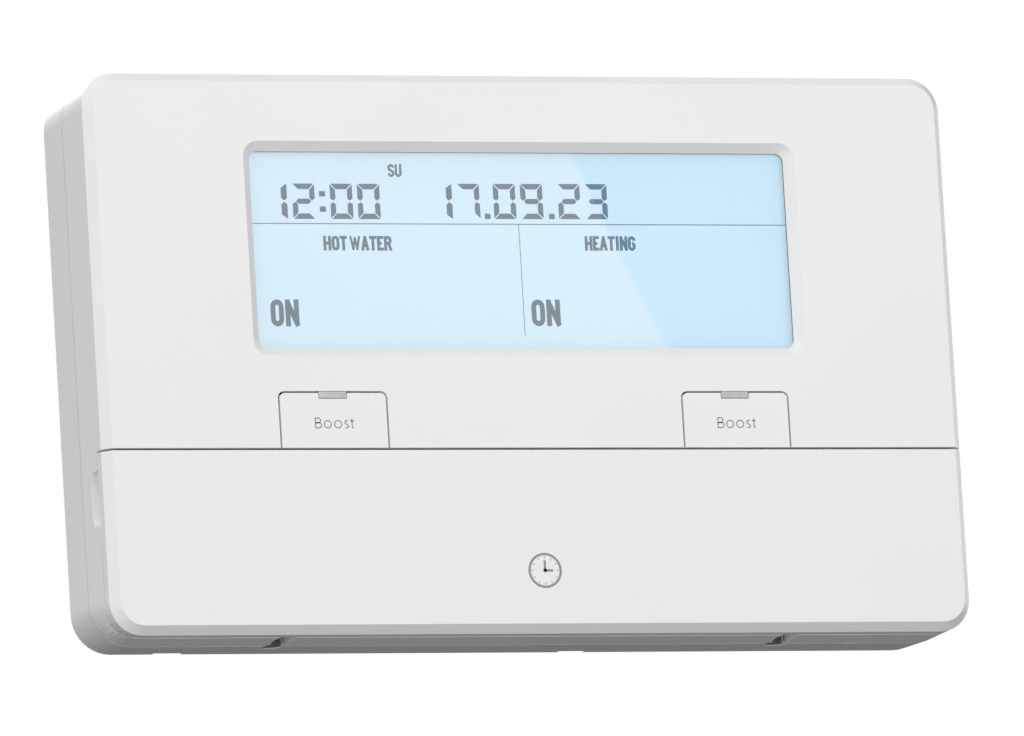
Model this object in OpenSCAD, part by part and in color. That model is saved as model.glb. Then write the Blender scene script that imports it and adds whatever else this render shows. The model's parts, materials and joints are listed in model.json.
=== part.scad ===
/* [Case] */
// overall width at the seam between the two shells
case_w = 161; // [150:1:175]
// overall height at the seam
case_h = 100; // [92:1:110]
// depth from the wall to the front face
case_d = 23; // [22:0.5:30]
// outer corner radius at the seam
corner_r = 7.3; // [5:0.1:12]
// corner radius at the outer edge of the front chamfer
chamfer_r = 5.8; // [4:0.1:10]
// draft of each shell away from the seam
draft = 0.42; // [0:0.02:0.8]
// width of the front edge chamfer, seen from the front
chamfer_w = 1.5; // [0.8:0.05:3]
// depth of the front edge chamfer
chamfer_d = 1.9; // [0.8:0.05:3]
// shell wall thickness
wall = 2; // [1.6:0.1:3]

/* [Display] */
// visible lens width
lens_w = 99.8; // [80:0.2:110]
// visible lens height
lens_h = 34.85; // [24:0.05:40]
// height of the lens centre above the case centre
lens_z = 18.45; // [14:0.05:22]
// bevel width around the lens
bevel_w = 1.6; // [0.8:0.1:3]
// depth of the lens below the front face
lens_recess = 1.7; // [1:0.1:2]

/* [Buttons] */
// width of each boost button
boost_w = 19.6; // [12:0.05:26]
// distance of each boost button from the centre line
boost_x = 37.5; // [28:0.1:50]
// height of each boost button
boost_h = 9.7; // [6:0.05:12]
// gap round the boost buttons
boost_gap = 0.32; // [0.2:0.02:0.5]
// press travel of every button and key
travel = 0.6; // [0.3:0.05:0.8]

/* [Flap] */
// height of the line between the front wall and the flap
flap_z = -16.9; // [-20:0.1:-14]
// gap between the front wall and the flap
flap_gap = 0.4; // [0.2:0.02:0.6]
// thickness of the flap panel
flap_t = 1.8; // [1.4:0.1:2.4]

/* [Wall plate] */
// wall plate width
plate_w = 116; // [100:1:118]
// wall plate height
plate_h = 72; // [60:1:76]
// spacing of the two wall fixing slots
fix_pitch = 60.3; // [50:0.1:90]
// half width of each wall fixing slot
fix_r = 2.15; // [1.8:0.05:2.6]
// length of each wall fixing slot
fix_len = 8; // [6:0.5:12]

/* [Hidden] */
$fn = 64;
yf = -case_d;
yc = yf + chamfer_d;
seam_f = yf + 11.6;
seam_r = seam_f + 0.35;
hx = case_w/2;
hz = case_h/2;
lens_y = yf + lens_recess;
panel_y = -18.8;
skirt_y = -19.2;
hinge_y = -20.7;
hinge_z = -47.2;
barrel_r = 2.85;
board_y = -14.8;
boost_zc = flap_z + boost_h/2;
key_z = -29;
keys = [-57, -43, -17.6, -6.2, 5.2, 16.6, 43, 57];
screw_x = 46.8;
screw_y = -9.5;
pocket_w = plate_w + 3;
pocket_h = plate_h + 3;
pocket_y = -8.2;
term_x = [-41, -25.5, -10, 10, 25.5, 41];
term_z = 24;
shell_col = [0.93, 0.94, 0.95];
dark_col = [0.15, 0.16, 0.17];
metal_col = [0.75, 0.75, 0.73];

// a solid block spanning x0..x1, y0..y1, z0..z1
module blk(x0, x1, y0, y1, z0, z1) { translate([x0, y0, z0]) cube([x1 - x0, y1 - y0, z1 - z0]); }
// a plate standing in the wall plane, w wide and h high, front at y0, thickness t
module slab(w, h, r, y0, t, x = 0, z = 0) {
  translate([x, y0 + t, z]) rotate([90, 0, 0]) linear_extrude(t) rr(w, h, r);
}
module rr(w, h, r) {
  square([w - 2*r, h], center = true);
  square([w, h - 2*r], center = true);
  for (i = [-1, 1], j = [-1, 1]) translate([i*(w/2 - r), j*(h/2 - r)]) circle(r);
}
// a round bar along Y from y0 to y1
module cy(x, z, r, y0, y1) { translate([x, y0, z]) rotate([-90, 0, 0]) cylinder(r = r, h = y1 - y0); }
// a round bar along X from x0 to x1
module cx(y, z, r, x0, x1) { translate([x0, y, z]) rotate([0, 90, 0]) cylinder(r = r, h = x1 - x0); }
// a round bar along Z from z0 to z1
module cz(x, y, r, z0, z1) { translate([x, y, z0]) cylinder(r = r, h = z1 - z0); }

module front_skin() {
  hull() {
    slab(case_w - 2*(draft + chamfer_w), case_h - 2*(draft + chamfer_w), chamfer_r - chamfer_w, yf, 0.02, $fn = 40);
    slab(case_w - 2*draft, case_h - 2*draft, chamfer_r, yc, 0.02, $fn = 40);
    slab(case_w, case_h, corner_r, seam_f - 0.02, 0.02, $fn = 40);
  }
}
module rear_skin() {
  hull() {
    slab(case_w, case_h, corner_r, seam_r, 0.02, $fn = 40);
    slab(case_w - 2*draft, case_h - 2*draft, corner_r - draft, -0.02, 0.02, $fn = 40);
  }
}
module key_hole(x) { slab(9.4, 5.4, 1.2, panel_y - 1, 4, x, key_z, $fn = 32); }
// way up to each retaining screw, with a sloping lead-in
module screw_access() {
  for (s = [-1, 1]) {
    translate([s*screw_x, screw_y, -52]) linear_extrude(7.4) union() {
      circle(1.75);
      translate([0, -1.4]) square([3.3, 2.8], center = true);
    }
    translate([s*screw_x, -21, -51.6]) rotate([-70, 0, 0]) cylinder(r = 1.7, h = 11.3);
  }
}

module case_front() color(shell_col) {
  difference() {
    union() {
      difference() {
        front_skin();
        // inside, above the control panel
        slab(case_w - 2*wall - 2, case_h/2 - wall + flap_z*-1 - 2, 6, -20.8, 12, 0, (hz - wall + flap_z + 2)/2);
        // inside, behind the control panel
        slab(case_w - 2*wall - 2, case_h - 2*wall - 2, 6, -16.9, 8);
        // place for the flap
        blk(-90, 90, yf - 1, panel_y, -60, flap_z);
        cx(hinge_y, hinge_z, barrel_r + 0.2, -90, 90);
        blk(-90, 90, -24, -18.5, -52, -49);
      }
      // rim that holds the lens
      slab(lens_w + 8, lens_h + 8, 2, -21, 1.6, 0, lens_z);
      // hinge ears
      for (s = [-1, 1]) {
        cx(hinge_y, hinge_z, 1.15, s*72.75 - 1.25, s*72.75 + 1.25);
        blk(s*72.75 - 1.25, s*72.75 + 1.25, -21.5, -20.25, hinge_z + 0.3, -42.4);
        blk(s*72.75 - 1.25, s*72.75 + 1.25, -21.5, -17.5, -44.1, -42.4);
      }
      // screw bosses
      for (i = [-1, 1], j = [-1, 1]) cy(i*71, j == 1 ? 40 : -38, 3.2, -21, seam_f - 0.2);
      // light pipe seats
      for (s = [-1, 1]) blk(s*boost_x - 4.4, s*boost_x + 4.4, -21, -18, -5.5, -4.2);
      // board posts
      for (x = [-57, 57], z = [42.5, -10]) cy(x, z, 2.6, -21, board_y - 0.05);
    }
    // lens opening with its bevel, and the lens pocket
    slab(lens_w, lens_h, 1.5, yf - 1, 3, 0, lens_z);
    hull() {
      slab(lens_w + 2*bevel_w, lens_h + 2*bevel_w, 2.8, yf - 0.02, 0.04, 0, lens_z, $fn = 24);
      slab(lens_w, lens_h, 1.5, lens_y - 0.04, 0.02, 0, lens_z, $fn = 24);
    }
    slab(lens_w + 4, lens_h + 4, 2, lens_y, 4, 0, lens_z);
    // boost button openings, open at the flap line
    for (s = [-1, 1]) {
      slab(boost_w + 2*boost_gap, boost_h + boost_gap + 4, 1.2, yf - 1, 6.5, s*boost_x, flap_z + (boost_h + boost_gap + 4)/2 - 4);
      blk(s*boost_x - boost_w/2 - 1.6, s*boost_x + boost_w/2 + 1.6, -20.75, -18.2, flap_z - 0.9, flap_z + boost_h + 1.4);
    }
    // key holes, slider slot and reset hole in the control panel
    for (x = keys) key_hole(x);
    slab(11, 3.4, 0.6, panel_y - 1, 4, 30, key_z, $fn = 32);
    cy(-30, key_z, 1.35, panel_y - 1, -15);
    // bores of the hinge ears
    for (s = [-1, 1]) cx(hinge_y, hinge_z, 0.6, s*72.75 - 2, s*72.75 + 2);
    // bores for the case screws and board screws
    for (i = [-1, 1], j = [-1, 1]) cy(i*71, j == 1 ? 40 : -38, 1.1, -19.5, -8);
    for (x = [-57, 57], z = [42.5, -10]) cy(x, z, 0.9, -19.5, -12);
    // thumb notches beside the flap
    for (s = [-1, 1]) translate([s*(hx - 0.42), 0, 0]) rotate([0, 90, 0]) linear_extrude(2.8, center = true) union() {
      translate([25.1, -19.4]) square([9.8, 4.2], center = true);
      translate([25.1, -16.7]) square([6.8, 1.7], center = true);
      for (d = [-3.4, 3.4]) translate([25.1 + d, -17.35]) circle(1.5, $fn = 32);
    }
    // narrow grooves that outline the thumb notches
    for (s = [-1, 1]) {
      blk(min(s*(hx - 2.3), s*(hx + 1)), max(s*(hx - 2.3), s*(hx + 1)), -15.9, -15.6, -28.2, -21.7);
      blk(min(s*(hx - 2.3), s*(hx + 1)), max(s*(hx - 2.3), s*(hx + 1)), -17.4, -15.6, -21.7, -21.4);
    }
    screw_access();
    // snap slot at the seam
    blk(59.5, 61.9, seam_f - 0.5, seam_f + 1, -51, -49.2);
    // vents in the top skin
    for (k = [-9:9]) blk(k*6 - 1.1, k*6 + 1.1, -17, -13.5, 47, 51);
  }
}

module case_rear() color(shell_col) {
  difference() {
    union() {
      difference() {
        rear_skin();
        // inside
        slab(case_w - 2*wall - 2, case_h - 2*wall - 2, 6, -14, 12);
        // place for the wall plate
        slab(pocket_w, pocket_h, 3, pocket_y, 10);
      }
      // floor over the wall plate and its side walls
      difference() {
        slab(pocket_w + 3, pocket_h + 3, 4, pocket_y - 1.6, -pocket_y + 1.6 - 0.2);
        slab(pocket_w, pocket_h, 3, pocket_y, 10);
      }
      for (i = [-1, 1], j = [-1, 1]) cy(i*71, j == 1 ? 40 : -38, 3.2, seam_r, -0.5);
      // seats of the retaining screws
      for (s = [-1, 1]) blk(s*screw_x - 4, s*screw_x + 4, seam_r, -0.5, -48, -38.5);
    }
    // openings for the contact blades
    for (x = term_x) blk(x - 3.6, x + 3.6, pocket_y - 3, pocket_y + 2, term_z - 1.4, term_z + 1.4);
    // case screw holes and counterbores
    for (i = [-1, 1], j = [-1, 1]) {
      cy(i*71, j == 1 ? 40 : -38, 1.5, -14, 1);
      cy(i*71, j == 1 ? 40 : -38, 2.7, -5, 1);
    }
    // bores of the retaining screws
    for (s = [-1, 1]) cz(s*screw_x, screw_y, 1.2, -51, -34);
    screw_access();
    // slots for the lugs of the wall plate
    for (s = [-1, 1]) blk(s*screw_x - 4.5, s*screw_x + 4.5, -12, -7, -36.8, -33);
    // reliefs in the lower rear edge
    blk(-65.6, -60.2, -1.6, 1, -51, -49.2);
    blk(9.8, 14.8, -1.6, 1, -51, -49.2);
    // vents in the top skin
    for (k = [-9:9]) blk(k*6 - 1.1, k*6 + 1.1, -9, -5.5, 47, 51);
  }
}

// thin ring closing the joint between the two shells
module seam_seal() color([0.22, 0.22, 0.23]) difference() {
  slab(case_w - 0.24, case_h - 0.24, corner_r - 0.12, seam_f + 0.01, 0.33, $fn = 40);
  slab(case_w - 3, case_h - 3, corner_r - 1.5, seam_f - 1, 3, $fn = 40);
  screw_access();
  blk(59.5, 61.9, seam_f - 0.5, seam_f + 1, -51, -49.2);
}

module lcd_lens() color([0.8, 0.9, 0.97, 0.5]) slab(lens_w + 3.6, lens_h + 3.6, 1.8, lens_y, 1.4, 0, lens_z);
module lcd_holder() color(dark_col) difference() {
  slab(lens_w + 3.6, lens_h + 3.4, 1, lens_y + 1.42, 5.06, 0, lens_z);
  slab(lens_w + 0.8, lens_h + 0.3, 1.5, -21, 2, 0, lens_z);
  slab(lens_w + 1.4, lens_h + 2, 1, -19.4, 6, 0, lens_z);
}
module lcd_glass() color([0.7, 0.82, 0.86]) union() {
  slab(lens_w + 1.1, lens_h + 1.4, 0.3, -19.35, 0.9, 0, lens_z);
  slab(lens_w - 0.8, lens_h - 2.4, 0.3, -18.5, 0.8, 0, lens_z);
}
module lcd_backlight() color([0.95, 0.95, 0.9]) slab(lens_w - 1.4, lens_h - 3.4, 0.3, -17.65, 2.7, 0, lens_z);
module contact_strips() color([0.85, 0.45, 0.6]) for (s = [-1, 1]) blk(-47, 47, -18.4, board_y - 0.02, lens_z + s*17.2 - 0.5, lens_z + s*17.2 + 0.5);
module main_board() color([0.1, 0.4, 0.25]) difference() {
  slab(148, 86, 3, board_y, 1.6);
  for (i = [-1, 1], j = [-1, 1]) cy(i*71, j == 1 ? 40 : -38, 4.2, -17, -10);
  for (x = [-57, 57], z = [42.5, -10]) cy(x, z, 1.35, -17, -10);
}
module board_chips() color(dark_col) {
  slab(14, 14, 0.4, board_y + 1.6, 1.4, 0, 6);
  slab(5, 6, 0.4, board_y + 1.6, 1.4, 16, 6);
  slab(5, 6, 0.4, board_y + 1.6, 1.4, -16, 0);
}
module board_parts() color([0.6, 0.5, 0.35]) {
  for (k = [0:5]) slab(2, 1.25, 0.1, board_y + 1.6, 0.7, -10 + k*4, -6);
  for (k = [0:3]) slab(1.25, 2, 0.1, board_y + 1.6, 0.7, 24, 2 + k*4);
  slab(8, 3.2, 0.3, board_y + 1.6, 1.2, 0, 18);
}
module status_leds() color([0.9, 0.9, 0.8]) for (s = [-1, 1]) slab(3.2, 1.6, 0.2, board_y - 1.1, 1.1, s*boost_x, -7.65);
module light_pipes() color([0.75, 0.78, 0.8, 0.8]) for (s = [-1, 1]) {
  blk(s*boost_x - 2.52, s*boost_x + 2.52, yf + 0.05, -20.9, -8.08, -6.96);
  blk(s*boost_x - 2.2, s*boost_x + 2.2, -21, -15.95, -8.06, -7.1);
  blk(s*boost_x - 2.2, s*boost_x + 2.2, -20, -19, -8.06, -5.5);
}
module board_switches() color(dark_col) difference() {
  union() {
    for (x = keys) slab(4.6, 4.6, 0.4, board_y - 0.8, 0.8, x, key_z);
    for (s = [-1, 1]) slab(6, 6, 0.4, board_y - 1.8, 1.8, s*boost_x, boost_zc);
    slab(3.4, 3.4, 0.3, board_y - 0.8, 0.8, -30, key_z);
  }
  for (x = keys) cy(x, key_z, 0.95, board_y - 2, board_y - 0.1);
  for (s = [-1, 1]) cy(s*boost_x, boost_zc, 1.7, board_y - 3, board_y - 0.8);
  cy(-30, key_z, 0.95, board_y - 2, board_y - 0.1);
}
module slide_switch_body() color(metal_col) difference() {
  slab(13, 5, 0.4, board_y - 1.4, 1.4, 30, key_z);
  slab(10.6, 1.8, 0.3, board_y - 2.5, 2, 30, key_z);
}
module coin_cell() color(metal_col) cy(-34, 4, 10, -12.95, -9.95);
module cell_holder() color([0.1, 0.1, 0.1]) difference() {
  slab(25, 23, 2, board_y + 1.6, 2.9, -34, 4);
  cy(-34, 4, 10.1, -12.95, -8);
  slab(30, 12, 0.5, -12.4, 4, -34, 12);
}
module relays() color([0.12, 0.13, 0.15]) for (z = [-2, 20]) slab(15.6, 18, 0.6, board_y + 1.6, 10.4, 69.3, z);
module power_module() color([0.15, 0.15, 0.16]) slab(15.6, 32, 0.6, board_y + 1.6, 10, -69.3, -8);
module capacitors() color([0.2, 0.25, 0.4]) {
  cy(-70, 15.5, 5, board_y + 1.6, -2.6);
  cy(-70, 27, 5, board_y + 1.6, -2.6);
}
module varistor() color([0.1, 0.35, 0.7]) slab(12, 4.4, 2, board_y + 1.6, 9, 69.3, -17.5);
module contact_blades() color([0.85, 0.75, 0.45]) for (x = term_x) {
  blk(x - 3, x + 3, board_y + 1.6, -11.8, term_z - 1.1, term_z + 1.1);
  blk(x - 2.4, x + 2.4, -12.4, -4.4, term_z - 0.4, term_z + 0.4);
}
module case_screws() color(metal_col) for (i = [-1, 1], j = [-1, 1]) {
  cy(i*71, j == 1 ? 40 : -38, 1.1, -18, -4.9);
  difference() {
    cy(i*71, j == 1 ? 40 : -38, 2.5, -5, -3.2);
    slab(2.6, 0.7, 0.1, -4, 2, i*71, j == 1 ? 40 : -38);
    slab(0.7, 2.6, 0.1, -4, 2, i*71, j == 1 ? 40 : -38);
  }
}
module board_screws() color(metal_col) for (x = [-57, 57], z = [42.5, -10]) {
  cy(x, z, 0.9, -18.5, board_y + 1.7);
  difference() {
    cy(x, z, 2, board_y + 1.6, board_y + 2.9);
    slab(2.2, 0.6, 0.1, board_y + 2.3, 2, x, z);
  }
}

module flap() color(shell_col) {
  difference() {
    intersection() {
      front_skin();
      union() {
        blk(-90, 90, yf - 1, skirt_y, -60, flap_z - flap_gap);
        cx(hinge_y, hinge_z, barrel_r, -90, 90);
      }
    }
    // inside
    difference() {
      slab(case_w - 2*draft - 3.4, case_h - 2*draft - 3.4, chamfer_r - 1.7, yf + flap_t, 8);
      for (s = [-1, 1]) cx(hinge_y, hinge_z, 1.9, s*76.3 - 1.9, s*76.3 + 1.9);
    }
    // pockets round the hinge ears and their arms
    for (s = [-1, 1]) {
      cx(hinge_y, hinge_z, 1.35, s*72.75 - 1.55, s*72.75 + 1.55);
      blk(s*72.75 - 1.55, s*72.75 + 1.55, -21.75, -20, hinge_z, -42);
      blk(s*72.75 - 1.55, s*72.75 + 1.55, skirt_y, -16, -51, -42);
    }
    // chamfer under the grip edge
    blk(-14, 14, yf + flap_t - 0.7, yf + flap_t + 1, flap_z - flap_gap - 2, flap_z);
  }
  // hinge pins and their lugs
  for (s = [-1, 1]) {
    cx(hinge_y, hinge_z, 0.53, s*73.4 - 1.4, s*73.4 + 1.4);
    // ribs inside the panel
    blk(s*50 - 0.4, s*50 + 0.4, yf + flap_t - 0.2, -20.6, -45, -24);
  }
}

module boost(s) {
  difference() {
    union() {
      slab(boost_w, boost_h, 1, yf, 2.2, s*boost_x, boost_zc);
      blk(s*boost_x - boost_w/2, s*boost_x + boost_w/2, yf, yf + 2.2, flap_z, flap_z + 4);
    }
    blk(s*boost_x - 2.64, s*boost_x + 2.64, yf - 1, -19, flap_z + boost_h - 1.02, flap_z + boost_h + 1);
  }
  // flange behind the front wall
  difference() {
    slab(boost_w + 2.2, boost_h - 1.2, 0.6, yf + 2.28, 0.9, s*boost_x, boost_zc - 0.4);
    blk(s*boost_x - 2.64, s*boost_x + 2.64, yf - 1, -19, flap_z + boost_h - 1.02, flap_z + boost_h + 1);
  }
  slab(boost_w - 2, boost_h - 3, 0.4, yf + 2.1, 0.5, s*boost_x, boost_zc - 0.5);
  // stem down to its switch
  slab(4.4, 4.4, 0.6, yf + 2.5, board_y - 2.4 - 0.7 - (yf + 2.5), s*boost_x, boost_zc);
  cy(s*boost_x, boost_zc, 1.6, -18.2, board_y - 1.82);
}
module boost_left() color(shell_col) boost(-1);
module boost_right() color(shell_col) boost(1);

module key(i) {
  slab(8.8, 4.8, 1, -19.9, 3.2, keys[i], key_z, $fn = 32);
  slab(10.6, 6.4, 1, -16.75, 0.5, keys[i], key_z, $fn = 32);
  cy(keys[i], key_z, 0.85, -16.5, board_y - 0.72);
}
module key_select_1() color(shell_col) key(0);
module key_advance_1() color(shell_col) key(1);
module key_minus() color(shell_col) key(2);
module key_ok() color(shell_col) key(3);
module key_menu() color(shell_col) key(4);
module key_plus() color(shell_col) key(5);
module key_select_2() color(shell_col) key(6);
module key_advance_2() color(shell_col) key(7);
module reset_key() color([0.5, 0.52, 0.55]) {
  cy(-30, key_z, 1.1, -18.4, -16.4);
  cy(-30, key_z, 1.9, -16.75, -16.25);
  cy(-30, key_z, 0.85, -16.5, board_y - 0.72);
}
module mode_slider() color([0.3, 0.32, 0.35]) {
  slab(3.4, 2.8, 0.4, -19.7, 3.1, 26.6, key_z);
  slab(6, 4.6, 0.4, -16.8, 0.45, 26.6, key_z);
  slab(2.2, 1.2, 0.2, -16.9, 1.45, 26.6, key_z);
}

module retaining_screw(s) {
  difference() {
    union() {
      cz(s*screw_x, screw_y, 1.6, -46.6, -44.7);
      cz(s*screw_x, screw_y, 1.1, -45, -36.1);
    }
    blk(s*screw_x - 2, s*screw_x + 2, screw_y - 0.25, screw_y + 0.25, -47.5, -46);
  }
}
module retaining_screw_left() color(metal_col) retaining_screw(-1);
module retaining_screw_right() color(metal_col) retaining_screw(1);

// dark sleeves that lead a screwdriver to the retaining screws
module screw_guides() color(dark_col) for (s = [-1, 1]) difference() {
  cz(s*screw_x, screw_y, 1.73, -49.75, -46.9);
  cz(s*screw_x, screw_y, 1.4, -52, -46);
  blk(s*screw_x - 3, s*screw_x + 3, -14, screw_y - 0.4, -52, -46);
}

module wall_plate() color([0.9, 0.9, 0.88]) {
  difference() {
    union() {
      slab(plate_w, plate_h, 3, -2.2, 2.2);
      // stiffening rim
      difference() {
        slab(plate_w, plate_h, 3, -4.4, 4);
        slab(plate_w - 3, plate_h - 3, 2, -6, 8);
      }
      // terminal shelf
      blk(-50, 50, -4, -2, 14.5, 33);
      // flange that the retaining screws lock under
      for (s = [-1, 1]) blk(s*screw_x - 4, s*screw_x + 4, -10.6, -1, -36, -34);
      // hooks at the top edge
      for (s = [-1, 1]) blk(s*40 - 6, s*40 + 6, -6.8, -1, 34, 36);
      // pads round the fixing slots
      for (s = [-1, 1]) slab(fix_len + 9, 11, 4, -3.2, 2, s*fix_pitch/2, 0);
    }
    // fixing slots
    for (s = [-1, 1]) {
      for (d = [-1, 1]) cy(s*fix_pitch/2 + d*(fix_len/2 - fix_r), 0, fix_r, -6, 1);
      blk(s*fix_pitch/2 - fix_len/2 + fix_r, s*fix_pitch/2 + fix_len/2 - fix_r, -6, 1, -fix_r, fix_r);
    }
    // cable opening
    slab(34, 16, 3, -6, 8, 0, -17);
    // gap in the rim for cables that come along the wall
    blk(-12, 12, -6, -2.2, -40, -30);
  }
}
module terminal_blocks() color([0.85, 0.86, 0.84]) for (x = term_x) difference() {
  blk(x - 5, x + 5, -7.2, -4, 15.5, 30);
  // contact slot
  blk(x - 2.8, x + 2.8, -8, -4.2, term_z - 0.8, term_z + 0.8);
  // screw well
  cy(x, 19.6, 2, -8, -4.6);
}
module terminal_screws() color(metal_col) for (x = term_x) difference() {
  cy(x, 19.6, 1.9, -6.6, -4.62);
  blk(x - 2.2, x + 2.2, -8, -6, 19.3, 19.9);
}

wall_plate();
terminal_blocks();
terminal_screws();
case_front();
case_rear();
seam_seal();
lcd_lens();
lcd_holder();
lcd_glass();
lcd_backlight();
contact_strips();
main_board();
board_chips();
board_parts();
status_leds();
light_pipes();
board_switches();
slide_switch_body();
coin_cell();
cell_holder();
relays();
power_module();
capacitors();
varistor();
contact_blades();
case_screws();
board_screws();
flap();
boost_left();
boost_right();
key_select_1();
key_advance_1();
key_minus();
key_ok();
key_menu();
key_plus();
key_select_2();
key_advance_2();
reset_key();
mode_slider();
retaining_screw_left();
retaining_screw_right();
screw_guides();
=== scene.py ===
import json
import math
import bpy
from mathutils import Matrix, Vector


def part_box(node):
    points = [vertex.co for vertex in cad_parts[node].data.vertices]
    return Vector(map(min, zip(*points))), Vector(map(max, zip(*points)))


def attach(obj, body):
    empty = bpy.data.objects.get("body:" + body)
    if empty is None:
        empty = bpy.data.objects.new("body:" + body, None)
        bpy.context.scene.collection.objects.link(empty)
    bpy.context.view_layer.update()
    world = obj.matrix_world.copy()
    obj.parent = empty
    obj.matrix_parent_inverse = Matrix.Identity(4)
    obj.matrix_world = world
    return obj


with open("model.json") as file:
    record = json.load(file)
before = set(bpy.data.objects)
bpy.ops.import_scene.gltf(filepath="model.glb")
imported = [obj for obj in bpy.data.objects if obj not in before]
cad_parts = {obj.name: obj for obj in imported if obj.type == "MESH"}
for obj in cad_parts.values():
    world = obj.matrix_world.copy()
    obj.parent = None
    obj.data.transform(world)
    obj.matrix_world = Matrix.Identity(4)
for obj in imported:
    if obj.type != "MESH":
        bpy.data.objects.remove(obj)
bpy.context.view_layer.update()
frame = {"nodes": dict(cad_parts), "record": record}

NODES = frame["nodes"]
MM = 0.001
scene = bpy.context.scene


def srgb(r, g, b):
    """An 8-bit screen colour as linear RGBA."""
    out = []
    for c in (r, g, b):
        c /= 255.0
        out.append(c / 12.92 if c <= 0.04045 else ((c + 0.055) / 1.055) ** 2.4)
    return (*out, 1.0)


# ------------------------------------------------------------------ materials

class Mat:
    """Small helper round a Principled node tree."""

    def __init__(self, name):
        self.mat = bpy.data.materials.new(name)
        self.mat.use_nodes = True
        self.nt = self.mat.node_tree
        self.bsdf = self.nt.nodes["Principled BSDF"]
        self.coord = self.nt.nodes.new("ShaderNodeTexCoord")

    def set(self, **values):
        for key, value in values.items():
            self.bsdf.inputs[key.replace("_", " ")].default_value = value

    def link(self, socket, name):
        self.nt.links.new(socket, self.bsdf.inputs[name])

    def noise(self, scale, detail=2.0, rough=0.5, stretch=None):
        """Noise over the object; scale is in cells per metre."""
        n = self.nt.nodes.new("ShaderNodeTexNoise")
        n.inputs["Scale"].default_value = scale
        n.inputs["Detail"].default_value = detail
        n.inputs["Roughness"].default_value = rough
        place = self.coord.outputs["Object"]
        if stretch:
            m = self.nt.nodes.new("ShaderNodeMapping")
            m.inputs["Scale"].default_value = stretch
            self.nt.links.new(place, m.inputs["Vector"])
            place = m.outputs["Vector"]
        self.nt.links.new(place, n.inputs["Vector"])
        return n.outputs["Fac"]

    def remap(self, value, a, b):
        """Spreads the middle range of a noise, where most of it lies, over a to b."""
        r = self.nt.nodes.new("ShaderNodeMapRange")
        r.inputs["From Min"].default_value = 0.3
        r.inputs["From Max"].default_value = 0.7
        r.inputs["To Min"].default_value = a
        r.inputs["To Max"].default_value = b
        self.nt.links.new(value, r.inputs["Value"])
        return r.outputs["Result"]

    def mix(self, fac, a, b):
        m = self.nt.nodes.new("ShaderNodeMix")
        m.data_type = "RGBA"
        m.inputs["A"].default_value = a
        m.inputs["B"].default_value = b
        self.nt.links.new(fac, m.inputs["Factor"])
        return m.outputs["Result"]

    def bump(self, height, strength, distance):
        b = self.nt.nodes.new("ShaderNodeBump")
        b.inputs["Strength"].default_value = strength
        b.inputs["Distance"].default_value = distance
        self.nt.links.new(height, b.inputs["Height"])
        self.nt.links.new(b.outputs["Normal"], self.bsdf.inputs["Normal"])


SPARK_GRAIN = 2600      # cells per metre of the moulded grain
FLOW_MARKS = 26         # cells per metre of the slow colour drift
GRAIN_DEPTH = 0.02 * MM
BRUSH_DEPTH = 0.01 * MM
TRACK_DEPTH = 0.04 * MM


def moulded(name, light, dark, rough=0.42):
    """Moulded plastic: fine spark-eroded grain and a faint flow variation."""
    m = Mat(name)
    fine = m.noise(SPARK_GRAIN, 2, 0.6)
    broad = m.noise(FLOW_MARKS, 3, 0.5)
    m.link(m.mix(m.remap(broad, 0, 1), dark, light), "Base Color")
    m.link(m.remap(fine, rough - 0.05, rough + 0.06), "Roughness")
    m.set(Specular_IOR_Level=0.5)
    m.bump(fine, 0.25, GRAIN_DEPTH)
    return m.mat


def metal(name, light, dark, rough=0.32, stretch=(1, 1, 1)):
    """Plated metal with faint lines."""
    m = Mat(name)
    lines = m.noise(900, 2, 0.6, stretch)
    m.link(m.mix(m.remap(lines, 0, 1), dark, light), "Base Color")
    m.link(m.remap(lines, rough - 0.08, rough + 0.1), "Roughness")
    m.set(Metallic=1.0)
    m.bump(lines, 0.15, BRUSH_DEPTH)
    return m.mat


def board_material():
    """Solder resist with a faint net of copper tracks under it."""
    m = Mat("board")
    brick = m.nt.nodes.new("ShaderNodeTexBrick")
    brick.inputs["Scale"].default_value = 160
    brick.inputs["Color1"].default_value = srgb(24, 96, 60)
    brick.inputs["Color2"].default_value = srgb(28, 106, 66)
    brick.inputs["Mortar"].default_value = srgb(52, 138, 88)
    brick.inputs["Mortar Size"].default_value = 0.035
    swap = m.nt.nodes.new("ShaderNodeMapping")
    swap.inputs["Rotation"].default_value = (math.radians(90), 0, 0)
    m.nt.links.new(m.coord.outputs["Object"], swap.inputs["Vector"])
    m.nt.links.new(swap.outputs["Vector"], brick.inputs["Vector"])
    m.link(brick.outputs["Color"], "Base Color")
    m.link(m.remap(m.noise(400), 0.25, 0.38), "Roughness")
    m.set(Specular_IOR_Level=0.6)
    m.bump(brick.outputs["Fac"], 0.2, TRACK_DEPTH)
    return m.mat


def lcd_material():
    """Display glass, pale blue and faintly mottled; its emission is painted light that stands in for the
    light that cannot reach it through the clear lens.
    """
    m = Mat("lcd_grey")
    broad = m.noise(14, 2, 0.4)
    m.link(m.mix(m.remap(broad, 0, 1), srgb(150, 178, 198), srgb(154, 181, 201)), "Base Color")
    m.set(Roughness=0.5, Specular_IOR_Level=0.2)
    # painted light: the display glows in place of the light that does not reach it through the clear lens
    m.set(Emission_Color=srgb(208, 238, 255), Emission_Strength=0.62)
    return m.mat


def lens_material():
    """Clear polished acrylic."""
    m = Mat("clear_lens")
    fine = m.noise(60, 2)
    m.link(m.mix(m.remap(fine, 0, 1), (0.985, 0.992, 0.998, 1), (0.99, 0.995, 1, 1)), "Base Color")
    m.link(m.remap(fine, 0.0, 0.012), "Roughness")
    m.set(Transmission_Weight=1.0, IOR=1.49)
    return m.mat


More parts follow.
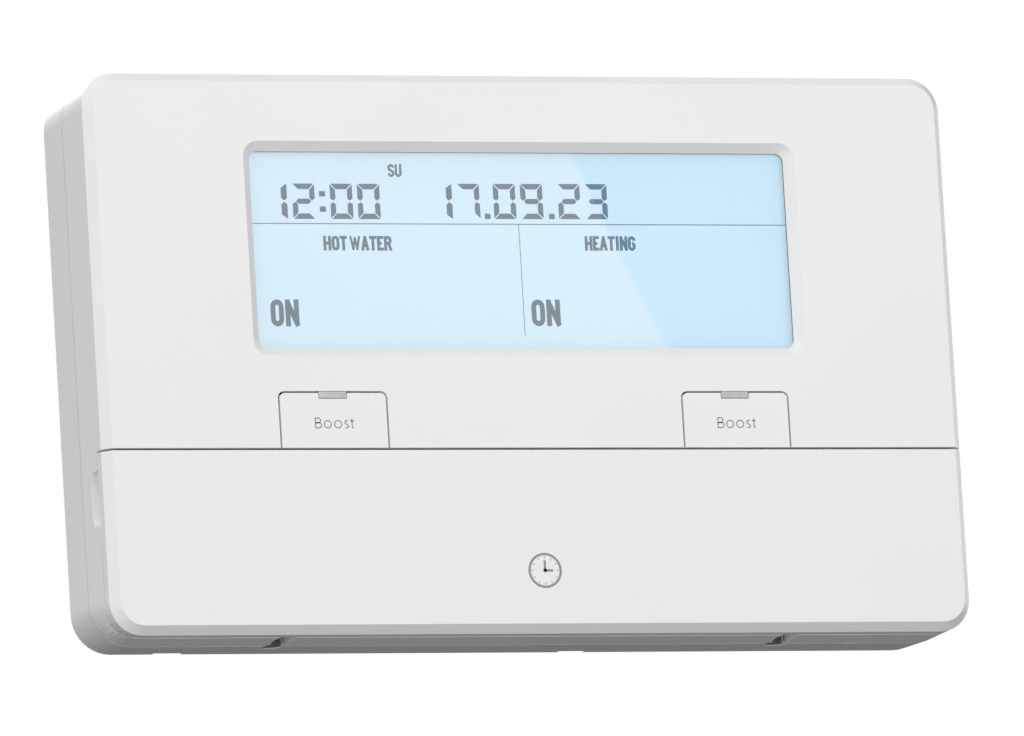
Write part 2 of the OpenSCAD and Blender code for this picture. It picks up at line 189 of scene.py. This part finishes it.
def pipe_material():
    """Grey light pipe that lets a little light through."""
    m = Mat("light_pipe")
    m.link(m.mix(m.remap(m.noise(420), 0, 1), srgb(190, 191, 192), srgb(212, 213, 214)), "Base Color")
    m.set(Roughness=0.25, IOR=1.49, Transmission_Weight=0.12)
    return m.mat


def ink(name, colour, rough=0.55, painted_glow=None):
    """Print with a slight mottle; the optional glow is emitted light, painted light that stands in for the
    light that cannot reach the print through the clear lens.
    """
    m = Mat(name)
    light = tuple(min(1, c * 1.08) for c in colour[:3]) + (1,)
    m.link(m.mix(m.remap(m.noise(3000), 0, 1), colour, light), "Base Color")
    m.set(Roughness=rough, Specular_IOR_Level=0.3)
    if painted_glow:
        # painted light: an emission in place of the light the print does not receive
        m.set(Emission_Color=painted_glow, Emission_Strength=0.92)
    return m.mat


SLOT_MATS = {
    "white_shell": moulded("white_shell", srgb(245, 245, 245), srgb(243, 243, 243)),
    "plate_white": moulded("plate_white", srgb(236, 236, 232), srgb(230, 230, 226), 0.55),
    "key_white": moulded("key_white", srgb(226, 229, 232), srgb(221, 224, 228), 0.38),
    "dark_plastic": moulded("dark_plastic", srgb(42, 43, 46), srgb(34, 35, 38), 0.5),
    "grey_plastic": moulded("grey_plastic", srgb(120, 126, 133), srgb(110, 116, 124)),
    "steel": metal("steel", srgb(205, 205, 202), srgb(176, 177, 176)),
    "brass": metal("brass", srgb(224, 206, 152), srgb(196, 172, 116), 0.28, (1, 4, 1)),
    "rubber": moulded("rubber", srgb(214, 150, 166), srgb(202, 138, 156), 0.6),
    # painted shade: the seal's dark colour is a dark piece set into the case seam, where there is only
    # shadow, to draw the dark joint line
    "seal": moulded("seal", srgb(46, 47, 49), srgb(36, 37, 39), 0.7),
    "ceramic": moulded("ceramic", srgb(186, 166, 128), srgb(160, 140, 104), 0.45),
    "blue_epoxy": moulded("blue_epoxy", srgb(40, 98, 176), srgb(32, 84, 158), 0.25),
    "sleeve": moulded("sleeve", srgb(52, 62, 92), srgb(44, 52, 80), 0.3),
    "diffuser": moulded("diffuser", srgb(240, 241, 236), srgb(234, 235, 230), 0.6),
    "board": board_material(),
    "lcd_grey": lcd_material(),
    "clear_lens": lens_material(),
    "light_pipe": pipe_material(),
}
print_grey = ink("print_grey", srgb(146, 148, 151))
key_print = ink("key_print", srgb(92, 96, 102))
# the display print's glow is painted light: an emission standing in for the light that does not reach it
# through the clear lens
lcd_ink = ink("lcd_ink", srgb(34, 46, 58), 0.7, srgb(73, 114, 136))

for part in frame["record"]["subparts"]:
    node_mesh = NODES[part["node"]].data
    node_mesh.materials.clear()
    node_mesh.materials.append(SLOT_MATS[part["material_slot"]])

# ------------------------------------------------------------------ soft moulded edges

# edge radius in millimetres for each softened node; the clear and flat ones stay crisp
SOFT = {
    "case_front": 0.07, "case_rear": 0.07, "flap": 0.07, "boost_left": 0.07, "boost_right": 0.07,
    "wall_plate": 0.15, "terminal_blocks": 0.2, "relays": 0.3, "power_module": 0.3,
    "case_screws": 0.1, "board_screws": 0.1, "terminal_screws": 0.12,
    "retaining_screw_left": 0.12, "retaining_screw_right": 0.12,
    "reset_key": 0.12, "mode_slider": 0.15, "cell_holder": 0.2, "lcd_holder": 0.15,
}
KEY_EDGE = 0.25
for node in NODES:
    if node.startswith("key_"):
        SOFT[node] = KEY_EDGE


def soften(obj, width):
    """Rounds the edges as a mould would, in modifiers only."""
    weld = obj.modifiers.new("weld", "WELD")
    weld.merge_threshold = 0.01 * MM
    bevel = obj.modifiers.new("bevel", "BEVEL")
    bevel.width = width * MM
    bevel.segments = 3
    bevel.limit_method = "ANGLE"
    bevel.angle_limit = math.radians(25)
    bevel.use_clamp_overlap = True
    bevel.harden_normals = False
    normal = obj.modifiers.new("normals", "WEIGHTED_NORMAL")
    normal.keep_sharp = False
    for poly in obj.data.polygons:
        poly.use_smooth = True


for node, width in SOFT.items():
    soften(NODES[node], width)

# ------------------------------------------------------------------ tools for printed and display marks

# All the marks below are in millimetres in the CAD frame: x to the right, z up, y into the wall.

PRINT = 0.02            # thickness of a printed mark


def add_mesh(name, verts, faces, material, body):
    mesh = bpy.data.meshes.new(name)
    mesh.from_pydata([Vector(v) * MM for v in verts], [], faces)
    mesh.update()
    mesh.materials.append(material)
    obj = bpy.data.objects.new(name, mesh)
    scene.collection.objects.link(obj)
    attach(obj, body)


class Marks:
    """Collects thin plates standing on the plane y, towards the viewer, as one mesh."""

    def __init__(self, y, thick=PRINT):
        self.y = y
        self.thick = thick
        self.verts = []
        self.faces = []

    def poly(self, pts):
        """A plain outline of (x, z) points as a thin plate."""
        area = sum(a[0] * b[1] - b[0] * a[1] for a, b in zip(pts, pts[1:] + pts[:1]))
        if area < 0:
            pts = pts[::-1]
        k, n = len(self.verts), len(pts)
        self.verts += [(x, self.y - self.thick, z) for x, z in pts]
        self.verts += [(x, self.y, z) for x, z in pts]
        self.faces.append(list(range(k, k + n)))
        self.faces.append(list(range(k + 2 * n - 1, k + n - 1, -1)))
        for i in range(n):
            j = (i + 1) % n
            self.faces.append([k + j, k + i, k + n + i, k + n + j])

    def box(self, x0, x1, z0, z1):
        self.poly([(x0, z0), (x1, z0), (x1, z1), (x0, z1)])

    def disc(self, x, z, r, n=20):
        self.poly(curve_pts(x, z, r, r, 0, 360, n)[:-1])

    def ring(self, x, z, r, w, n):
        self.stroke(curve_pts(x, z, r, r, 0, 360, n)[:-1], w, closed=True)

    def stroke(self, pts, w, closed=False):
        """A ribbon of width w along the points: mitred on gentle bends, square-cut at sharp corners."""
        pts = [Vector(p) for p in pts]
        pts = [p for i, p in enumerate(pts) if (i == 0 and not closed) or (p - pts[i - 1]).length > 1e-4]
        if closed:
            self.ribbon(pts, w, True)
            return
        run = [pts[0]]
        for i in range(1, len(pts)):
            run.append(pts[i])
            last = i == len(pts) - 1
            if last or (pts[i] - pts[i - 1]).angle(pts[i + 1] - pts[i]) > math.radians(50):
                if not last and len(run) < 3:  # a straight run reaches the outside of the corner
                    run[-1] = pts[i] + (pts[i] - pts[i - 1]).normalized() * (w / 2)
                self.ribbon(run, w, False)
                run = [pts[i]]

    def ribbon(self, pts, w, closed):
        """One mitred run of quads."""
        n = len(pts)
        left, right = [], []
        for i, p in enumerate(pts):
            if closed:
                a, b = p - pts[i - 1], pts[(i + 1) % n] - p
            else:
                a = p - pts[i - 1] if i else pts[1] - p
                b = pts[i + 1] - p if i < n - 1 else p - pts[i - 1]
            a, b = a.normalized(), b.normalized()
            m = Vector((-a.y - b.y, a.x + b.x))
            m *= 2 / m.length_squared
            left.append(p + m * (w / 2))
            right.append(p - m * (w / 2))
        for i in range(n if closed else n - 1):
            j = (i + 1) % n
            self.poly([tuple(left[i]), tuple(right[i]), tuple(right[j]), tuple(left[j])])

    def done(self, name, material, body):
        add_mesh(name, self.verts, self.faces, material, body)


def curve_pts(cx, cz, rx, rz, a0, a1, n=8):
    """Points of an elliptic arc from angle a0 to a1, in degrees."""
    return [(cx + rx * math.cos(math.radians(a0 + (a1 - a0) * i / n)),
             cz + rz * math.sin(math.radians(a0 + (a1 - a0) * i / n))) for i in range(n + 1)]


# ------------------------------------------------------------------ figures of seven segments

# a is the top bar, b and f the upper right and left, g the middle, c and e the lower pair, d the foot
SEGMENTS = {"0": "abcdef", "1": "bc", "2": "abged", "3": "abgcd", "4": "fgbc", "5": "afgcd",
            "6": "afgedc", "7": "abc", "9": "abgcdf"}
SEGMENT_GAP = 0.12


def lcd_one(marks, x0, z0, h, t):
    """The display's figure one: only the left-hand column of its cell is there."""
    g = SEGMENT_GAP
    x1, zm, z1 = x0 + t, z0 + h / 2, z0 + h
    tip = x0 + t * 0.45
    marks.poly([(x0, z0 + t * 0.7), (x0, zm - t * 0.55), (tip, zm - g), (x1, zm - t * 0.5), (x1, z0)])
    marks.poly([(x0, z1 - t * 0.7), (x1, z1), (x1, zm + t * 0.5), (tip, zm + g), (x0, zm + t * 0.55)])


def lcd_digit(marks, char, x0, z0, w, h, t):
    """A seven-segment figure with mitred segment ends; t is the segment's thickness."""
    if char == "1":
        lcd_one(marks, x0, z0, h, t)
        return
    g = SEGMENT_GAP
    xm, zm = x0 + w / 2, z0 + h / 2

    def bar(side):
        """The foot, or with side 1 the top bar."""
        z, inner = (z0 + h, z0 + h - t + g) if side > 0 else (z0, z0 + t - g)
        return [(x0 + g, z), (x0 + w - g, z), (x0 + w - t, inner), (x0 + t, inner)]

    def column(right, up):
        """An upright; right and up are 1 or -1."""
        x, z = xm + right * w / 2, zm + up * h / 2
        return [(x, z - up * g), (x - right * (t - g), z - up * t), (x - right * (t - g), zm + up * t / 2),
                (x - right * t / 2, zm + up * g), (x, zm + up * t * 0.45)]

    x1 = x0 + w
    thick = t * 0.42
    segs = {
        "a": bar(1), "d": bar(-1),
        "f": column(-1, 1), "b": column(1, 1), "e": column(-1, -1), "c": column(1, -1),
        "g": [(x0 + t * 0.6, zm), (x0 + t, zm + thick), (x1 - t, zm + thick), (x1 - t * 0.6, zm),
              (x1 - t, zm - thick), (x0 + t, zm - thick)],
    }
    for s in SEGMENTS[char]:
        marks.poly(segs[s])


SEGMENT_ENDS = {
    "a": ((0, 1), (1, 1)), "b": ((1, 1), (1, 0.5)), "c": ((1, 0.5), (1, 0)), "d": ((0, 0), (1, 0)),
    "e": ((0, 0), (0, 0.5)), "f": ((0, 0.5), (0, 1)), "g": ((0, 0.5), (1, 0.5)),
}


def figure(marks, char, x, z, h):
    """A small printed figure centred on (x, z), in plain strokes."""
    w, t = h * 0.52, h * 0.13
    for seg in SEGMENTS[char]:
        (ax, az), (bx, bz) = SEGMENT_ENDS[seg]
        a = Vector((x - w / 2 + ax * w, z - h / 2 + az * h))
        b = Vector((x - w / 2 + bx * w, z - h / 2 + bz * h))
        grow = (b - a).normalized() * (t / 2)
        marks.stroke([tuple(a - grow), tuple(b + grow)], t)


# ------------------------------------------------------------------ condensed capitals

# each letter's strokes on a unit box, (0, 0) bottom left and (1, 1) top right, then its width
CAP = 0.22              # height of a letter's round end
LOW, HIGH = CAP, 1 - CAP
LETTERS = {
    "H": ([[(0, 0), (0, 1)], [(1, 0), (1, 1)], [(0, 0.5), (1, 0.5)]], 1.0),
    "O": ([[(0, LOW), (0, HIGH)] + curve_pts(0.5, HIGH, 0.5, CAP, 180, 0)[1:] +
           [(1, LOW)] + curve_pts(0.5, LOW, 0.5, CAP, 0, -180)[1:-1]], 1.0),
    "T": ([[(0, 1), (1, 1)], [(0.5, 0), (0.5, 1)]], 0.9),
    "W": ([[(0, 1), (0.26, 0), (0.5, 0.95), (0.74, 0), (1, 1)]], 1.7),
    "A": ([[(0, 0), (0.5, 1), (1, 0)], [(0.2, 0.3), (0.8, 0.3)]], 1.0),
    "E": ([[(1, 1), (0, 1), (0, 0), (1, 0)], [(0, 0.5), (0.85, 0.5)]], 0.75),
    "R": ([[(0, 0), (0, 1), (0.6, 1)] + curve_pts(0.6, 0.76, 0.4, 0.24, 90, -90) + [(0, 0.52)],
           [(0.62, 0.52), (1, 0)]], 1.0),
    "I": ([[(0.5, 0), (0.5, 1)]], 0.25),
    "N": ([[(0, 0), (0, 1), (1, 0), (1, 1)]], 1.05),
    "G": ([[(1, 0.74)] + curve_pts(0.5, HIGH, 0.5, CAP, 0, 180) + [(0, LOW)] +
           curve_pts(0.5, LOW, 0.5, CAP, 180, 360) + [(1, 0.48), (0.55, 0.48)]], 1.0),
    "S": ([[(1, HIGH)] + curve_pts(0.5, HIGH, 0.5, CAP, 0, 180)[1:] +
           [(0.08, 0.62), (0.92, 0.38)] + curve_pts(0.5, LOW, 0.5, CAP, 0, -180)], 1.0),
    "U": ([[(0, 1), (0, LOW)] + curve_pts(0.5, LOW, 0.5, CAP, 180, 360) + [(1, 1)]], 1.0),
}
SPACE = 0.48            # width of the space between two words
THIN_PEN = 0.74         # share of the stroke width that keeps a W open


def letter(marks, char, x, z0, width, h, w):
    """One capital whose strokes' middles fill the box from (x, z0), width wide and h high."""
    for stroke in LETTERS[char][0]:
        pts = [Vector((x + px * width, z0 + pz * h)) for px, pz in stroke]
        if char != "O":  # run the open ends out to the edge of the letter
            for end, inner, (px, pz) in ((0, 1, stroke[0]), (-1, -2, stroke[-1])):
                way = (pts[end] - pts[inner]).normalized()
                if (pz in (0, 1) and abs(way.y) > 0.5) or (px in (0, 1) and abs(way.x) > 0.9):
                    pts[end] = pts[end] + way * (w / 2)
        marks.stroke([tuple(p) for p in pts], w * (THIN_PEN if char == "W" else 1.0), char == "O")


def word(marks, text, x0, x1, z0, z1, w, gap=0.1):
    """Condensed capitals filling the box from x0 to x1; w is the stroke width."""
    widths = [(SPACE if c == " " else LETTERS[c][1]) for c in text]
    gaps = sum(gap for a, b in zip(text, text[1:]) if a != " " and b != " ")
    unit = (x1 - x0 - w * sum(c != " " for c in text)) / (sum(widths) + gaps)
    x = x0
    for i, c in enumerate(text):
        if c == " ":
            x += widths[i] * unit
            continue
        x += w / 2
        letter(marks, c, x, z0 + w / 2, widths[i] * unit, z1 - z0 - w, w)
        x += widths[i] * unit + w / 2
        if i + 1 < len(text) and text[i + 1] != " ":
            x += gap * unit


# ------------------------------------------------------------------ the display

DIGIT_Z = 24.2          # foot of the large figures
DIGIT_H = 6.27
DIGIT_W = 4.13
DIGIT_T = 1.09
POINT_W = 1.05          # side of a point in the date
COLON_X = (-36.74, -35.61)
COLON_H = 0.95
SMALL_PEN = 0.53        # stroke of the channel names
STATE_PEN = 0.9         # stroke of the on state

display = Marks(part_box("lcd_glass")[0][1] / MM, 0.03)


def large_figures(text, places, lift=0.0):
    for char, x in zip(text, places):
        lcd_digit(display, char, x, DIGIT_Z + lift, DIGIT_W, DIGIT_H, DIGIT_T)


large_figures("1200", (-43.8, -41.71, -34.7, -29.63))
for z in (25.47, 28.2):
    display.box(*COLON_X, z, z + COLON_H)
large_figures("17", (-13.13, -11.04), 0.08)
large_figures("09", (-4.33, 0.75), 0.1)
large_figures("23", (7.76, 12.83), 0.12)
for x in (-6.1, 5.9):
    display.box(x, x + POINT_W, DIGIT_Z + 0.1, DIGIT_Z + POINT_W)
display.box(-49.6, 50.3, 23.28, 23.44)   # the line under the time and the date
display.box(0.05, 0.17, 3.4, 23.33)      # the line between the two channels
word(display, "SU", -23.75, -21.15, 31.72, 34.0, 0.44)
word(display, "HOT WATER", -36.45, -23.75, 18.6, 21.2, SMALL_PEN)
word(display, "HEATING", 12.3, 21.8, 18.7, 21.3, SMALL_PEN)
word(display, "ON", -46.95, -41.7, 5.12, 9.88, STATE_PEN, 0.2)
word(display, "ON", 1.55, 6.92, 5.22, 9.95, STATE_PEN, 0.2)
display.done("display_figures", lcd_ink, "unit")

# ------------------------------------------------------------------ boost labels

BOOST_X = 37.5          # middle of each button from the middle of the case
LABEL_HALF = 3.58
LABEL_Z = -13.5
LABEL_H = 1.96
LABEL_PEN = 0.2
ROUND_R = 0.645         # radius of the small round letters


def boost_label(marks, x0, z0):
    """The word Boost in a thin round face, 7.3 mm wide."""
    w = LABEL_PEN
    top, z0 = z0 + LABEL_H - w / 2, z0 + w / 2
    mid = z0 + 0.52 * (top - z0)
    x = x0 + w / 2
    marks.stroke([(x, z0), (x, top)], w)
    for low, high, straight, reach in ((mid, top, 0.55, 0.42), (z0, mid, 0.62, 0.49)):
        half = (high - low) / 2
        bowl = curve_pts(x + straight, low + half, reach, half, 90, -90, 10)
        marks.stroke([(x, high), (x + straight, high)] + bowl[1:] + [(x, low)], w)
    for cx in (x0 + 2.37, x0 + 4.27):
        marks.ring(cx, z0 + ROUND_R, ROUND_R, w, 28)
    cx = x0 + 5.86
    marks.stroke(curve_pts(cx, z0 + 0.98, 0.3, 0.31, 40, 220, 10) + [(cx, z0 + ROUND_R)] +
                 curve_pts(cx, z0 + 0.31, 0.32, 0.31, 40, -140, 10), w)
    x = x0 + 6.86
    hook = curve_pts(x + 0.24, z0 + 0.2, 0.24, 0.2, 180, 280, 6)
    marks.stroke([(x, top - 0.1), (x, z0 + 0.2)] + hook[1:], w)
    marks.stroke([(x - 0.3, z0 + 1.22), (x + 0.38, z0 + 1.22)], w)


for side, sign in (("left", -1), ("right", 1)):
    label = Marks(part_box("boost_" + side)[0][1] / MM)
    boost_label(label, sign * BOOST_X - LABEL_HALF, LABEL_Z)
    label.done("boost_label_" + side, print_grey, "boost_" + side)

# ------------------------------------------------------------------ generic clock pictogram on the flap

CLOCK_Z = -38.7
CLOCK_R = 2.9
CLOCK_PEN = 0.42

clock = Marks(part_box("flap")[0][1] / MM)
clock.ring(0, CLOCK_Z, CLOCK_R, CLOCK_PEN, 40)
clock.stroke([(0, CLOCK_Z + 1.8), (0, CLOCK_Z), (1.5, CLOCK_Z)], CLOCK_PEN)
clock.disc(0, CLOCK_Z, 0.36)
for hour in range(12):
    a = math.radians(30 * hour)
    clock.stroke([(r * math.cos(a), CLOCK_Z + r * math.sin(a)) for r in (2.25, 2.5)], 0.2)
clock.done("flap_pictogram", print_grey, "flap")

# ------------------------------------------------------------------ marks on the keys

KEY_Z = -29.0
KEY_PEN = 0.34
KEYS = {"key_select_1": -57.0, "key_advance_1": -43.0, "key_minus": -17.6, "key_ok": -6.2,
        "key_menu": 5.2, "key_plus": 16.6, "key_select_2": 43.0, "key_advance_2": 57.0}


def key_mark(marks, node, x):
    """The sign of one key, centred on x."""
    if "select" in node:
        marks.ring(x, KEY_Z, 1.15, KEY_PEN, 28)
        marks.disc(x, KEY_Z, 0.4)
    elif "advance" in node:
        for dx in (-1.1, 0.3):
            marks.stroke([(x + dx, KEY_Z + 1.1), (x + dx + 1.0, KEY_Z), (x + dx, KEY_Z - 1.1)], KEY_PEN)
    elif node == "key_ok":
        marks.stroke([(x - 1.3, KEY_Z - 0.1), (x - 0.4, KEY_Z - 1.0), (x + 1.4, KEY_Z + 1.1)], KEY_PEN)
    elif node == "key_menu":
        for dz in (-0.9, 0, 0.9):
            marks.stroke([(x - 1.3, KEY_Z + dz), (x + 1.3, KEY_Z + dz)], KEY_PEN)
    else:
        marks.stroke([(x - 1.3, KEY_Z), (x + 1.3, KEY_Z)], KEY_PEN)
        if node == "key_plus":
            marks.stroke([(x, KEY_Z + 1.3), (x, KEY_Z + KEY_PEN / 2)], KEY_PEN)
            marks.stroke([(x, KEY_Z - KEY_PEN / 2), (x, KEY_Z - 1.3)], KEY_PEN)


for node, x in KEYS.items():
    mark = Marks(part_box(node)[0][1] / MM)
    key_mark(mark, node, x)
    mark.done(node + "_mark", key_print, node)

# ------------------------------------------------------------------ print on the control panel

PANEL_Y = -18.8         # face of the panel under the flap
BRACKET_PEN = 0.22
SCALE_PEN = 0.24
RESET_X = -30.0
SLIDER_XS = (26.6, 30.0, 33.4)

panel = Marks(PANEL_Y)


def bracket(x0, x1):
    """A line with short ends above a group of keys."""
    foot, bar = KEY_Z + 5.2, KEY_Z + 6.2
    panel.stroke([(x0, foot), (x0, bar), (x1, bar), (x1, foot)], BRACKET_PEN)


for side, channel in ((-1, "1"), (1, "2")):
    figure(panel, channel, side * 50, KEY_Z, 2.6)
    bracket(side * 50 - 11.5, side * 50 + 11.5)
bracket(-22.5, 21.5)
for x in SLIDER_XS:
    panel.stroke([(x, KEY_Z + 2.9), (x, KEY_Z + 3.9)], SCALE_PEN)
panel.ring(SLIDER_XS[0], KEY_Z + 5.3, 0.6, 0.2, 20)
panel.stroke([(SLIDER_XS[2], KEY_Z + 4.7), (SLIDER_XS[2], KEY_Z + 5.9)], SCALE_PEN)
# a turning arrow round the reset hole
panel.stroke(curve_pts(RESET_X, KEY_Z, 2.3, 2.3, 55, 395, 24), SCALE_PEN)
panel.poly([(RESET_X + 1.05, KEY_Z + 1.2), (RESET_X + 2.0, KEY_Z + 2.2), (RESET_X + 2.4, KEY_Z + 0.8)])
panel.done("panel_print", key_print, "unit")

# ------------------------------------------------------------------ print on the wall plate

TERMINAL_XS = (-41, -25.5, -10, 10, 25.5, 41)
TERMINAL_FACE_Y = -7.2
PLATE_FACE_Y = -2.2
SLOT_X = 30.15          # half the spacing of the wall screws
ARROW_PEN = 0.4

numbers = Marks(TERMINAL_FACE_Y)
for i, x in enumerate(TERMINAL_XS):
    figure(numbers, str(i + 1), x, 28.0, 1.9)
numbers.done("terminal_numbers", key_print, "wall_plate")

arrows = Marks(PLATE_FACE_Y)
for x in (-SLOT_X, SLOT_X):
    arrows.stroke([(x - 2.6, 9.0), (x, 11.6), (x + 2.6, 9.0)], ARROW_PEN)
    arrows.stroke([(x, 11.3), (x, 7.4)], ARROW_PEN)
arrows.stroke([(-22, -9), (-22, -27), (22, -27), (22, -9)], 0.25)   # outline of the cable area
arrows.done("plate_print", key_print, "wall_plate")

# ------------------------------------------------------------------ camera

# a long lens to the left of the case and below it; its place and angles come from a fit to the case's edges
CAMERA_PLACE = Vector((-1.03764, -2.79712, -0.48975))
TURN = -20.43717        # to the right, in degrees
LOOK_UP = 9.34077
LEAN = 3.43717
cam_data = bpy.data.cameras.new("camera")
cam_data.sensor_width = 36.0
cam_data.lens = 602.7
cam_data.clip_start = 0.1
cam_data.clip_end = 20.0
cam = bpy.data.objects.new("camera", cam_data)
scene.collection.objects.link(cam)
pose = Matrix.Translation(CAMERA_PLACE)
for angle, axis in ((TURN, "Z"), (LOOK_UP, "X"), (LEAN, "Y"), (90, "X")):
    pose = pose @ Matrix.Rotation(math.radians(angle), 4, axis)
cam.matrix_world = pose
scene.camera = cam

# ------------------------------------------------------------------ surrounding light

AMBIENT = 0.40
TILT = (-0.20, -0.50, 0.21)     # how much more light comes from the left, the front and above
LOBES = (0.06, 0.0, -0.073)     # the same for both ends of an axis
DARKEST = 0.02
WHITE = (1, 1, 1, 1)


def surround():
    """Soft light that varies smoothly with direction; the camera itself sees plain white."""
    world = bpy.data.worlds.new("studio")
    scene.world = world
    world.use_nodes = True
    nt = world.node_tree
    link = nt.links.new

    def node(kind, operation, constant=None):
        n = nt.nodes.new("ShaderNode" + kind)
        n.operation = operation
        if constant is not None:
            n.inputs[1].default_value = constant
        return n

    way = nt.nodes.new("ShaderNodeTexCoord").outputs["Generated"]
    tilt = node("VectorMath", "DOT_PRODUCT", tuple(1.5 * t for t in TILT))
    square = node("VectorMath", "MULTIPLY")
    lobes = node("VectorMath", "DOT_PRODUCT", LOBES)
    shape = node("Math", "ADD")
    level = node("Math", "ADD", AMBIENT)
    clipped = node("Math", "MAXIMUM", DARKEST)
    link(way, tilt.inputs[0])
    link(way, square.inputs[0])
    link(way, square.inputs[1])
    link(square.outputs["Vector"], lobes.inputs[0])
    link(tilt.outputs["Value"], shape.inputs[0])
    link(lobes.outputs["Value"], shape.inputs[1])
    link(shape.outputs["Value"], level.inputs[0])
    link(level.outputs["Value"], clipped.inputs[0])

    soft = nt.nodes["Background"]
    soft.inputs["Color"].default_value = WHITE
    link(clipped.outputs["Value"], soft.inputs["Strength"])
    plain = nt.nodes.new("ShaderNodeBackground")
    plain.inputs["Color"].default_value = WHITE
    plain.inputs["Strength"].default_value = 1.0
    path = nt.nodes.new("ShaderNodeLightPath")
    mixer = nt.nodes.new("ShaderNodeMixShader")
    link(path.outputs["Is Camera Ray"], mixer.inputs["Fac"])
    link(soft.outputs["Background"], mixer.inputs[1])
    link(plain.outputs["Background"], mixer.inputs[2])
    link(mixer.outputs["Shader"], nt.nodes["World Output"].inputs["Surface"])


surround()

# ------------------------------------------------------------------ lamps


def add_lamp(data, toward):
    """Hangs up a lamp whose light comes from the direction toward."""
    lamp = bpy.data.objects.new(data.name, data)
    scene.collection.objects.link(lamp)
    lamp.rotation_euler = Vector(toward).to_track_quat("Z", "Y").to_euler()
    return lamp


# two soft lights from behind, for the top, the right side and the back
for name, energy, toward in (("back_light", 1.9, (-0.14, 0.79, 0.60)),
                             ("side_light", 1.0, (0.64, 0.77, 0.05))):
    sun = bpy.data.lights.new(name, "SUN")
    sun.energy = energy
    sun.angle = math.radians(20)
    add_lamp(sun, toward)

# a soft pool of light that fades down the front
POOL_DISTANCE = 1.02
POOL_SPREAD = 0.20      # tangent of half the cone's angle
pool = bpy.data.lights.new("front_light", "SPOT")
pool.energy = 3.6
pool.shadow_soft_size = 0.12
pool.spot_size = 2 * math.atan(POOL_SPREAD)
pool.spot_blend = 1.0
add_lamp(pool, (0, -1, 0)).location = (0.0, -POOL_DISTANCE, 0.13)

# ------------------------------------------------------------------ the pale reflection on the lens

CARD_DISTANCE = 1.4     # how far in front of the lens the card stands
CARD_COLOUR = (1.0, 0.64, 0.23, 1)
CARD_LIGHT = 3.3
# the outline of the reflection on the lens, in millimetres; only its slanted edge falls on it
REFLECTION = ((-75, 60), (-0.95, 60), (36.5, -22), (-75, -22))

lens_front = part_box("lcd_lens")[0][1]
cam_pos = cam.matrix_world.translation


def mirrored(x, z):
    """The point of the card whose reflection the camera sees at (x, z) on the lens."""
    p = Vector((x * MM, lens_front, z * MM))
    ray = (p - cam_pos).normalized()
    ray.y = -ray.y
    return p + ray * (CARD_DISTANCE / -ray.y)


card_light = Mat("card_light")
card_light.set(Base_Color=(0, 0, 0, 1), Specular_IOR_Level=0)
card_light.set(Emission_Color=CARD_COLOUR, Emission_Strength=CARD_LIGHT)
card = bpy.data.meshes.new("studio_card")
card.from_pydata([mirrored(x, z) for x, z in REFLECTION], [], [(0, 1, 2, 3)])
card.materials.append(card_light.mat)
card_obj = bpy.data.objects.new("studio_card", card)
scene.collection.objects.link(card_obj)
card_obj.visible_camera = False
card_obj.visible_diffuse = False
card_obj.visible_shadow = False
card_obj.visible_transmission = False

# ------------------------------------------------------------------ floor

FLOOR_HALF = 12.0
FLOOR_Z = -6.0          # far enough down for a view from beneath the wall unit
floor_paint = Mat("floor")
mottle = floor_paint.remap(floor_paint.noise(3), 0, 1)
floor_paint.link(floor_paint.mix(mottle, (0.86, 0.86, 0.86, 1), (0.9, 0.9, 0.9, 1)), "Base Color")
floor_paint.set(Roughness=0.9)
floor_mesh = bpy.data.meshes.new("floor")
corners = [(x * FLOOR_HALF, y * FLOOR_HALF, FLOOR_Z) for x, y in ((-1, -1), (1, -1), (1, 1), (-1, 1))]
floor_mesh.from_pydata(corners, [], [(0, 1, 2, 3)])
floor_mesh.materials.append(floor_paint.mat)
floor = bpy.data.objects.new("floor", floor_mesh)
scene.collection.objects.link(floor)
floor.visible_diffuse = False
floor.visible_glossy = False

scene.view_settings.view_transform = "Standard"
scene.view_settings.look = "None"
scene.render.film_transparent = False
